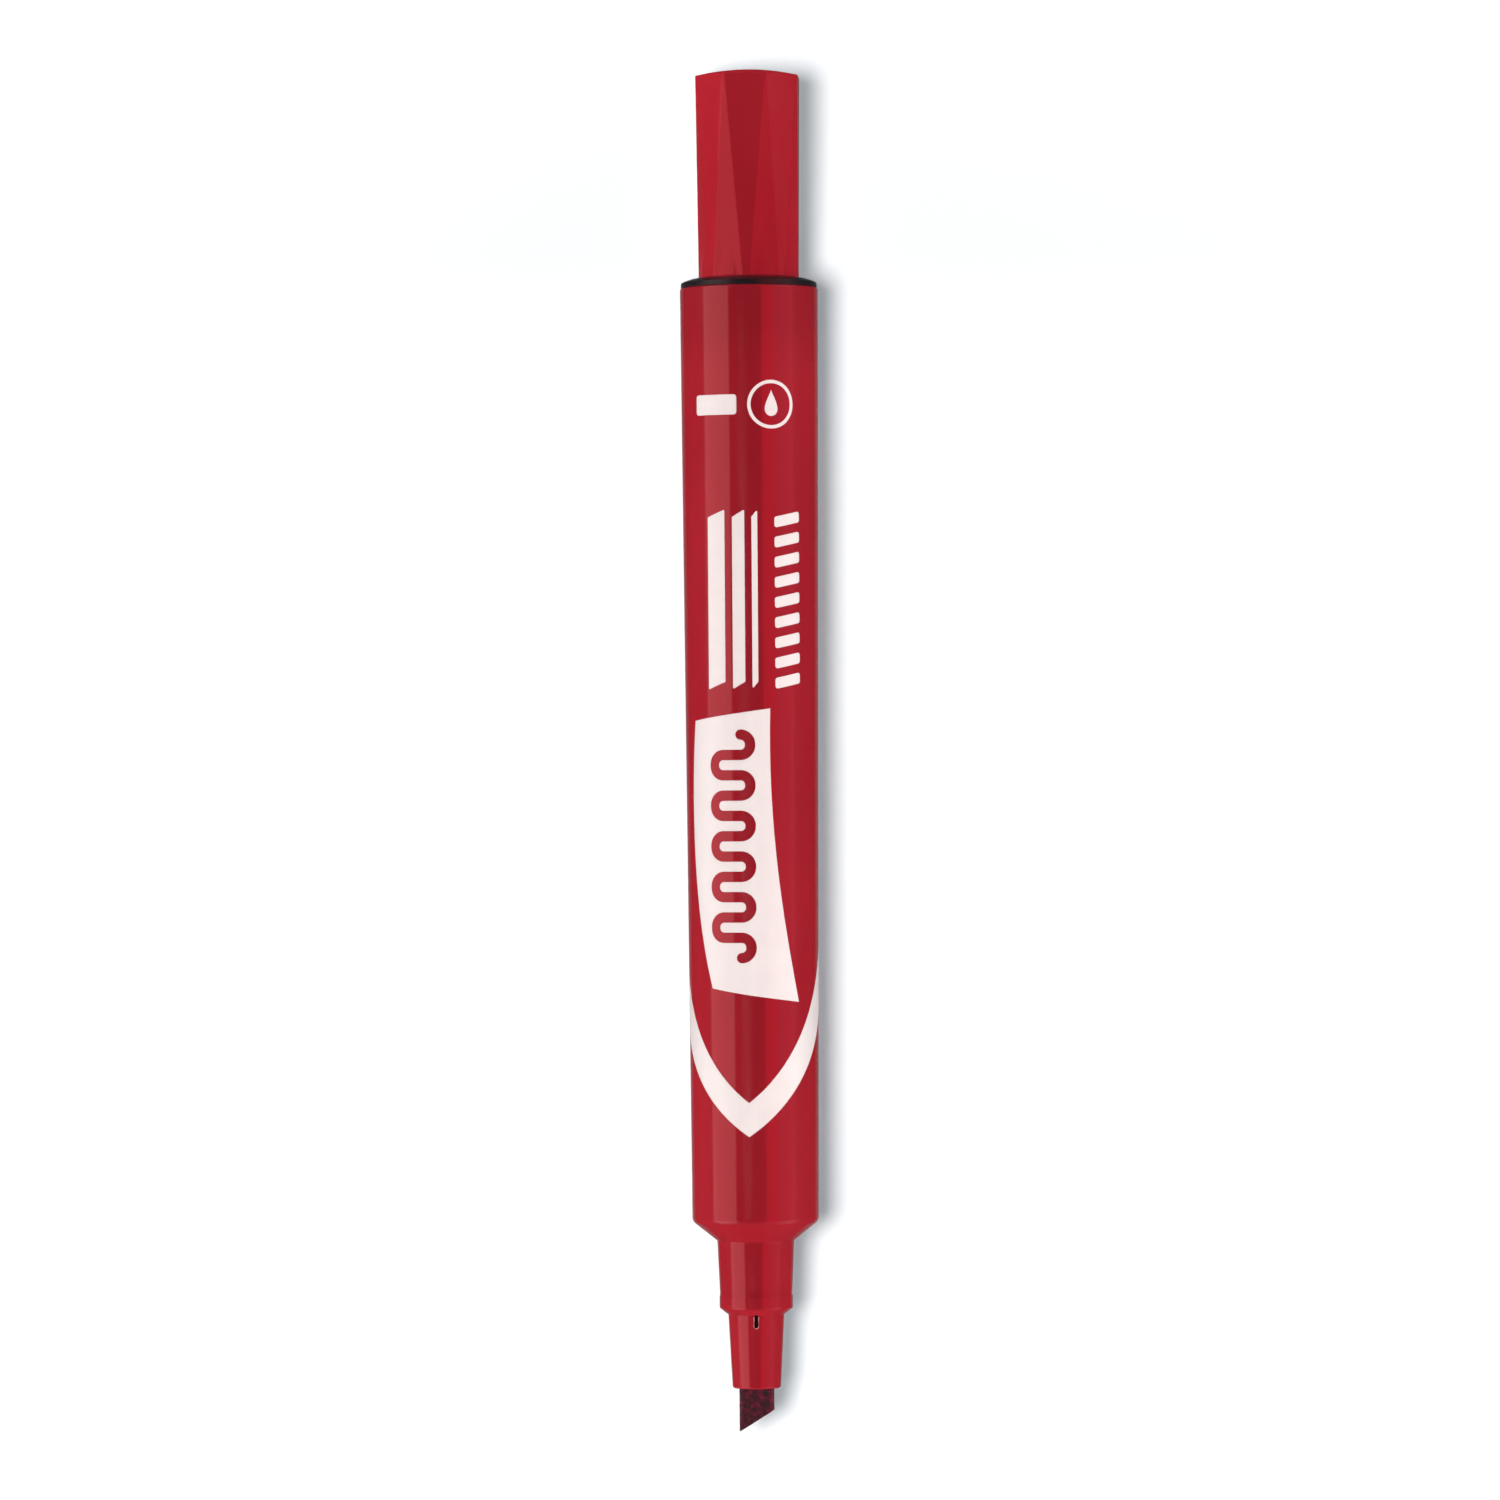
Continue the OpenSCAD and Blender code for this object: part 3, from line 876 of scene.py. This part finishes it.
class NodeTree:
    """Short calls that add and join the nodes of a material or of the world."""

    def __init__(self, tree):
        self.tree = tree
        self.tree.nodes.clear()

    def add(self, kind, **inputs):
        """A new shader node with these inputs, where an underscore stands for a space."""
        node = self.tree.nodes.new("ShaderNode" + kind)
        for key, value in inputs.items():
            self.put(node, key.replace("_", " "), value)
        return node

    def put(self, node, socket, value):
        """Joins an output to a socket, or sets the socket to a plain value."""
        target = node.inputs[socket]
        if isinstance(value, bpy.types.NodeSocket):
            self.tree.links.new(value, target)
        else:
            target.default_value = value

    def place(self, scale=(1, 1, 1)):
        """The row-frame position in millimetres, stretched by scale."""
        spot = self.add("TexCoord").outputs["Object"]
        scale = tuple(s / MM for s in scale)
        return self.add("Mapping", Vector=spot, Scale=scale).outputs[0]

    def noise(self, size, detail=2.0, roughness=0.5, stretch=(1, 1, 1)):
        """Noise with features about this many millimetres across."""
        node = self.add("TexNoise", Vector=self.place(stretch), Scale=1.0 / size)
        self.put(node, "Detail", detail)
        self.put(node, "Roughness", roughness)
        return node.outputs["Fac"]

    def ramp(self, value, stops):
        """Colour between stops, given as (place, colour) in rising order."""
        node = self.add("ValToRGB", Fac=value)
        elements = node.color_ramp.elements
        elements[0].position = stops[0][0]
        elements[1].position = stops[-1][0]
        for place, _ in stops[1:-1]:
            elements.new(place)
        for element, (place, color) in zip(elements, stops):
            element.color = (*color, 1)
        return node.outputs["Color"]

    def range(self, value, low, high, from_low=0.0, from_high=1.0):
        """Goes from low to high while value goes from from_low to from_high, and stops there."""
        source = {"From_Min": from_low, "From_Max": from_high}
        return self.add("MapRange", Value=value, To_Min=low, To_Max=high, **source).outputs[0]

    def rise(self, value, start, end):
        """0 below start, 1 above end, and a straight rise between."""
        return self.range(value, 0.0, 1.0, start, end)

    def mix(self, share, a, b):
        """The colour that goes from a to b as share goes from 0 to 1."""
        node = self.add("Mix")
        node.data_type = "RGBA"
        self.put(node, MIX_SHARE, share)
        for socket, color in ((MIX_FROM, a), (MIX_TO, b)):
            self.put(node, socket, (*color, 1) if isinstance(color, tuple) else color)
        return node.outputs[MIX_RESULT]

    def grey(self, value):
        """A grey of this brightness."""
        return self.add("CombineColor", Red=value, Green=value, Blue=value).outputs[0]

    def math(self, operation, a, b=0.0):
        """A sum, product or other operation on a and b."""
        node = self.add("Math")
        node.operation = operation
        self.put(node, 0, a)
        self.put(node, 1, b)
        return node.outputs[0]

    def parts(self, vector):
        """Outputs X, Y and Z of a vector."""
        return self.add("SeparateXYZ", Vector=vector).outputs

    def bump(self, layers):
        """Joins (height, millimetres) layers into one normal."""
        normal = None
        for height, depth in layers:
            node = self.add("Bump", Strength=1.0, Distance=depth * MM, Height=height)
            if normal is not None:
                self.put(node, "Normal", normal)
            normal = node.outputs["Normal"]
        return normal


class Nodes(NodeTree):
    """The nodes of a new material with a Principled shader."""

    def __init__(self, name):
        self.material = bpy.data.materials.new(name)
        self.material.use_nodes = True
        super().__init__(self.material.node_tree)
        self.shader = self.add("BsdfPrincipled")
        self.add("OutputMaterial", Surface=self.shader.outputs[0])

    def finish(self, color, roughness, layers=(), specular=0.5):
        """Joins the looks to the shader. layers are the (height, millimetres) layers of its bump."""
        self.put(self.shader, "Base Color", color)
        self.put(self.shader, "Roughness", roughness)
        self.put(self.shader, "Specular IOR Level", specular)
        if layers:
            self.put(self.shader, "Normal", self.bump(layers))
        return self.material

    def along(self):
        """Place along the marker, in millimetres."""
        return self.math("SUBTRACT", self.parts(self.place())["X"], FOOT_X / MM)


def shade(color, factor, lift=0.0):
    """The colour made darker or lighter."""
    return tuple(min(c * factor + lift, 1) for c in color)


def moulded_plastic(name, color, roughness, specular=0.5, dark_behind=None, matt_behind=None):
    """Glossy moulded plastic: faint flow marks, orange peel, fine handling scratches, worn edges.

    dark_behind is a place along the marker past which a dark part shows faintly through the wall,
    and matt_behind one past which the surface is matt.
    """
    n = Nodes(name)
    flow = n.noise(9.0, detail=3.0, roughness=0.55, stretch=(0.35, 1, 1))
    grain = n.noise(0.35)
    scratches = n.noise(0.12, detail=3.0, roughness=0.6, stretch=(0.07, 1, 1))
    cross = n.noise(0.15, detail=3.0, roughness=0.6, stretch=(1, 0.12, 0.12))
    edges = n.add("NewGeometry").outputs["Pointiness"]
    worn = n.rise(edges, 0.53, 0.62)
    tone = n.mix(n.rise(flow, 0.3, 0.7), shade(color, 0.93), shade(color, 1.06, 0.002))
    rubbed = n.math("MULTIPLY", worn, n.range(grain, 0.2, 0.8))
    base = n.mix(rubbed, tone, shade(color, 1.15, 0.012))
    fine = n.range(n.math("MAXIMUM", scratches, cross), 0.0, 0.05, from_low=0.64, from_high=0.75)
    smudge = n.range(n.noise(5.0), -0.01, 0.02, from_low=0.35, from_high=0.65)
    rough = n.math("ADD", n.math("ADD", smudge, fine), n.range(worn, roughness, roughness + 0.1))
    if dark_behind is not None:
        shown = n.range(n.along(), 0.0, 0.13, dark_behind - 2.5, dark_behind + 3.0)
        base = n.mix(shown, base, (0, 0, 0))
    if matt_behind is not None:
        specular = n.range(n.along(), specular, 0.0, matt_behind - 0.1, matt_behind + 0.1)
    layers = [(flow, 0.006), (grain, 0.0016), (n.rise(scratches, 0.64, 0.72), 0.0012)]
    return n.finish(base, rough, layers, specular)


def felt(name):
    """Pressed felt soaked in ink: matted strands over dark pits, nearly black in places."""
    n = Nodes(name)
    patches = n.noise(0.75, detail=3.0, roughness=0.6)
    strands = n.noise(0.34, detail=4.0, roughness=0.65, stretch=(0.6, 1, 1))
    specks = n.noise(0.16, detail=3.0, roughness=0.7)
    mixed = n.math("ADD", n.math("MULTIPLY", patches, 0.62), n.math("MULTIPLY", strands, 0.38))
    tone = n.ramp(mixed, [
        (0.40, (0.016, 0.010, 0.012)), (0.48, (0.034, 0.010, 0.014)),
        (0.54, (0.062, 0.010, 0.018)), (0.61, (0.120, 0.011, 0.025)),
    ])
    lit = n.range(specks, 0.0, 0.5, from_low=0.58, from_high=0.74)
    color = n.mix(lit, tone, (0.17, 0.012, 0.036))
    layers = [(strands, 0.12), (specks, 0.04)]
    return n.finish(color, n.range(patches, 0.72, 0.95), layers, specular=0.2)


def inked_fibre(name):
    """Bundled fibre that runs along the core, wet with red ink."""
    n = Nodes(name)
    bundles = n.noise(0.5, detail=4.0, roughness=0.6, stretch=(0.04, 1, 1))
    wet = n.noise(4.0)
    tone = n.ramp(bundles, [(0.3, (0.13, 0.004, 0.010)), (0.7, (0.38, 0.014, 0.032))])
    color = n.mix(n.range(wet, 0.0, 0.5), tone, (0.16, 0.004, 0.012))
    return n.finish(color, n.range(wet, 0.35, 0.8), [(bundles, 0.12)])


def clear_film(name):
    """Thin clear film, tinted by ink, with fine wrinkles."""
    n = Nodes(name)
    wrinkles = n.noise(1.6, detail=3.0, roughness=0.6, stretch=(0.3, 1, 1))
    color = n.ramp(wrinkles, [(0.3, (0.70, 0.46, 0.44)), (0.7, (0.82, 0.62, 0.6))])
    n.put(n.shader, "Alpha", 0.35)
    return n.finish(color, n.range(wrinkles, 0.08, 0.25), [(wrinkles, 0.06)])


def print_ink(name):
    """Screen-printed white ink: a hint of the red below, tiny pinholes, and painted shade that darkens
    it round the sides of the barrel, where the light on it is stronger.
    """
    n = Nodes(name)
    cover = n.noise(2.6, detail=3.0, roughness=0.6)
    pinholes = n.noise(0.16)
    # Painted shade: the ink is brightest on top and darkest down both sides of the barrel, evening out
    # the stronger side light there.
    across = n.rise(n.parts(n.place())["Y"], -BARREL_REAR_R, BARREL_REAR_R)
    full = n.ramp(cover, [(0.3, (0.735, 0.640, 0.615)), (0.7, (0.765, 0.668, 0.642))])
    painted_shade_levels = ((0.0, 0.60), (0.2, 0.84), (0.5, 1.0), (0.68, 0.80), (0.85, 0.72), (1.0, 0.58))
    share = n.ramp(across, [(place, (level,) * 3) for place, level in painted_shade_levels])
    tone = n.mix(share, (0.0, 0.0, 0.0), full)
    thin = n.range(pinholes, 0.0, 0.35, from_low=0.70, from_high=0.82)
    color = n.mix(thin, tone, (0.72, 0.35, 0.35))
    return n.finish(color, n.range(cover, 0.32, 0.46), [(pinholes, 0.003)], specular=0.2)


# ======== floor and lights

GLOW = 0.1
END_GLOW = 0.03
BARREL_REACH = 50.0
ENDS_REACH = 60.0
GLOW_COLOR = (0.88, 0.96, 1.09, 1)


def floor_white(name):
    """Matt white that reflections see as grey. A faint glow keeps the shadows beside it light."""
    n = Nodes(name)
    ray = n.add("LightPath").outputs
    incoming = n.parts(n.add("NewGeometry").outputs["Incoming"])
    mirrored = n.range(incoming["Z"], 0.02, 0.24, from_low=0.75, from_high=1.0)
    from_middle = n.math("ABSOLUTE", n.parts(n.place())["X"])
    glow = n.range(from_middle, GLOW, END_GLOW, BARREL_REACH, ENDS_REACH)
    n.put(n.shader, "Emission Color", GLOW_COLOR)
    n.put(n.shader, "Emission Strength", n.math("MULTIPLY", ray["Is Camera Ray"], glow))
    color = n.mix(ray["Is Glossy Ray"], (0.95, 0.95, 0.95), n.grey(mirrored))
    return n.finish(color, 1.0, specular=0.0)


def make_floor():
    """A plain white table at the marker's lowest point."""
    half = 1.5
    outline = [(-half, -half), (half, -half), (half, half), (-half, half)]
    mesh = bpy.data.meshes.new("floor")
    mesh.from_pydata([(x, y, cad_low.z) for x, y in outline], [], [(0, 1, 2, 3)])
    mesh.materials.append(floor_white("floor_white"))
    add_object("floor", mesh)


def turn_to(obj, look, right):
    """Turns a light or camera to look this way, with right at the right of its view."""
    obj.rotation_mode = "QUATERNION"
    obj.rotation_quaternion = Matrix((right, right.cross(look), -look)).transposed().to_quaternion()


def aim(obj, target, up=Vector((1, 0, 0))):
    """Turns a light or camera so that it looks at target with up towards the top of its view."""
    look = (Vector(target) - obj.location).normalized()
    turn_to(obj, look, look.cross(up).normalized())


def rectangle_light(name, width, height, radiance, place):
    """A rectangular soft panel that the camera can't see."""
    light = bpy.data.lights.new(name, "AREA")
    light.shape = "RECTANGLE"
    light.size = width
    light.size_y = height
    light.energy = radiance * math.pi * light.size * light.size_y
    panel = add_object(name, light)
    panel.location = place
    panel.visible_camera = False
    return panel


def soft_panel(name, middle_angle, spread, radiance, color=(1, 1, 1), length=1.6, distance=0.7):
    """A long softbox parallel to the marker, seen from it across spread degrees round the axis."""
    angle = math.radians(middle_angle)
    place = (0, -distance * math.sin(angle), AXIS_HEIGHT + distance * math.cos(angle))
    height = 2 * distance * math.tan(math.radians(spread) / 2)
    panel = rectangle_light(name, length, height, radiance, place)
    panel.data.color = color
    turn_to(panel, Vector((0, math.sin(angle), -math.cos(angle))), Vector((1, 0, 0)))
    return panel


def end_panel(name, heading, radiance, distance=0.6, width=1.0, low=2.0, high=13.0):
    """A soft panel from low to high degrees across one end of the marker, heading +1 for the cap's."""
    bottom = distance * math.tan(math.radians(low))
    top = distance * math.tan(math.radians(high))
    middle = (bottom + top) / 2
    panel = rectangle_light(name, width, top - bottom, radiance, (heading * distance, 0, middle))
    aim(panel, (0, 0, middle), up=Vector((0, 0, 1)))
    panel.visible_glossy = False
    return panel


def key_light(brightness, height, lean, spread, towards_nib):
    """A soft round lamp above the marker, leaning to the viewer's left. It casts the main shadow."""
    light = bpy.data.lights.new("key", "AREA")
    light.shape = "DISK"
    away = height / math.cos(lean)
    light.size = 2 * away * math.tan(spread / 2)
    light.energy = brightness * (math.pi * away) ** 2 / math.cos(lean)
    lamp = add_object("key", light)
    lamp.location = (-towards_nib, height * math.tan(lean), height)
    aim(lamp, (0, 0, 0))
    lamp.visible_camera = False
    lamp.visible_glossy = False


def light_only(lights, pieces):
    """Keeps these lights off everything but the pieces, so that they don't wash out the shadow."""
    lit = bpy.data.collections.new("lit_pieces")
    for piece in pieces:
        lit.objects.link(piece)
    for light in lights:
        light.light_linking.receiver_collection = lit


def make_lights(pieces):
    """One key light, three coloured reflections, and fills for the sides and the ends."""
    lean, spread = math.radians(13.5), math.radians(19)
    key_light(0.81, height=1.2, lean=lean, spread=spread, towards_nib=0.06)
    for side, middle_angle, spread, radiance, color in (
        ("left", -58.7, 47.5, 1.5, (1, 0.54, 0.54)),
        ("right_inner", 31, 22, 2.3, (1, 0.02, 0.04)),
        ("right_outer", 60, 36, 1.1, (1, 0.13, 0.19)),
    ):
        panel = soft_panel(side + "_reflection", middle_angle, spread, radiance, color)
        panel.visible_diffuse = False
    side_tint = (0.94, 0.97, 1.0)
    soft_panel("left_fill", -82, 14, 8.3, side_tint).visible_glossy = False
    soft_panel("right_fill", 82, 14, 9.8, side_tint).visible_glossy = False
    nib_fill = end_panel("nib_fill", -1, 7.0, distance=0.35, width=0.6, low=3.0, high=17.0)
    cap_fill = end_panel("cap_fill", 1, 4.5)
    light_only((nib_fill, cap_fill), pieces)


def make_world():
    """Dim sky light. Reflections see only a low glow past the marker's ends, clear of its sides."""
    ambient, glow = 0.09, 0.8
    world = bpy.data.worlds.new("studio")
    world.use_nodes = True
    n = NodeTree(world.node_tree)
    direction = n.parts(n.add("TexCoord").outputs["Generated"])
    low_down = n.range(direction["Z"], 1.0, 0.0, from_low=0.1, from_high=0.7)
    endwise = n.math("ABSOLUTE", direction["X"])
    off_side = n.rise(endwise, 0.25, 0.45)
    off_end = n.range(endwise, 1.0, 0.0, from_low=0.75, from_high=0.9)
    seen = n.math("MULTIPLY", low_down, n.math("MULTIPLY", off_side, off_end))
    bounced = n.add("LightPath").outputs["Is Glossy Ray"]
    strength = n.range(bounced, ambient, n.math("MULTIPLY", seen, glow))
    background = n.add("Background", Color=(0.80, 0.90, 1, 1), Strength=strength)
    n.add("OutputWorld", Surface=background.outputs[0])
    bpy.context.scene.world = world


# ======== camera

CAMERA_DISTANCE = 912.0
CAMERA_HALF_VIEW = 90.0
CAMERA_FOOT_ALONG = 53.9
VIEW_MIDDLE_ALONG = 58.8
VIEW_MIDDLE_ACROSS = -0.26
ROLL = math.radians(0.42)
SENSOR = 36.0


def make_camera():
    """Straight above the marker, at the distance where its ring and shoulder curve as they should."""
    data = bpy.data.cameras.new("camera")
    data.sensor_width = SENSOR
    data.lens = SENSOR / 2 * CAMERA_DISTANCE / CAMERA_HALF_VIEW
    data.clip_end = 10
    camera = add_object("camera", data)
    height = AXIS_HEIGHT + CAMERA_DISTANCE * MM
    camera.location = (FOOT_X + CAMERA_FOOT_ALONG * MM, -VIEW_MIDDLE_ACROSS * MM, height)
    target = (FOOT_X + VIEW_MIDDLE_ALONG * MM, -VIEW_MIDDLE_ACROSS * MM, AXIS_HEIGHT)
    aim(camera, target, up=Vector((math.cos(ROLL), -math.sin(ROLL), 0)))
    bpy.context.scene.camera = camera


# ======== put together

RED = (0.25, 0.0080, 0.0143)
CAP_RED = (0.275, 0.0088, 0.0155)
# The flash is real, but this colour is painted lighter and pinker than the plastic's own red, as a
# painted highlight on its lumps.
FLASH_HIGHLIGHT_RED = (0.5, 0.16, 0.17)
BLACK = (0.007, 0.005, 0.006)

barrel = make_barrel()
plug = make_end_plug()
cap = make_cap()
nib = make_nib()
prints = make_prints()
burr = make_vent_burr()
pieces = (barrel, plug, cap, nib, burr, *prints)

red_plastic = moulded_plastic("red_plastic", RED, 0.08, dark_behind=SKIRT_END)
red_cap_plastic = moulded_plastic(
    "red_cap_plastic", CAP_RED, 0.07, specular=0.2, matt_behind=FACETS_END - 0.1
)
black_plastic = moulded_plastic("black_plastic", BLACK, 0.3, specular=0.3)

for piece, node, body, slot, material in (
    (barrel, "barrel", "body", "red_plastic", red_plastic),
    (plug, "end_plug", "body", "black_plastic", black_plastic),
    (cap, "cap", "cap", "red_cap_plastic", red_cap_plastic),
    (nib, "nib", "body", "wet_felt", felt("wet_felt")),
):
    piece.data.materials.append(material)
    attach(piece, body)
    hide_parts(node)

white_ink = print_ink("white_print")
for piece in prints:
    piece.data.materials.append(white_ink)
# Painted highlight: the flash takes a paler red than the barrel, so that its lumps show as light
# specks round the vent.
burr.data.materials.append(moulded_plastic("red_flash_with_painted_highlight", FLASH_HIGHLIGHT_RED, 0.3))
for piece in (*prints, burr):
    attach(piece, "body")
for piece in pieces:
    piece.visible_diffuse = False

for node, material in (
    ("reservoir_core", inked_fibre("inked_fibre")), ("reservoir_wrap", clear_film("clear_film"))
):
    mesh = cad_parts[node].data
    mesh.materials.clear()
    mesh.materials.append(material)

make_floor()
make_lights(pieces)
make_world()
make_camera()
bpy.context.scene.view_settings.view_transform = "Standard"
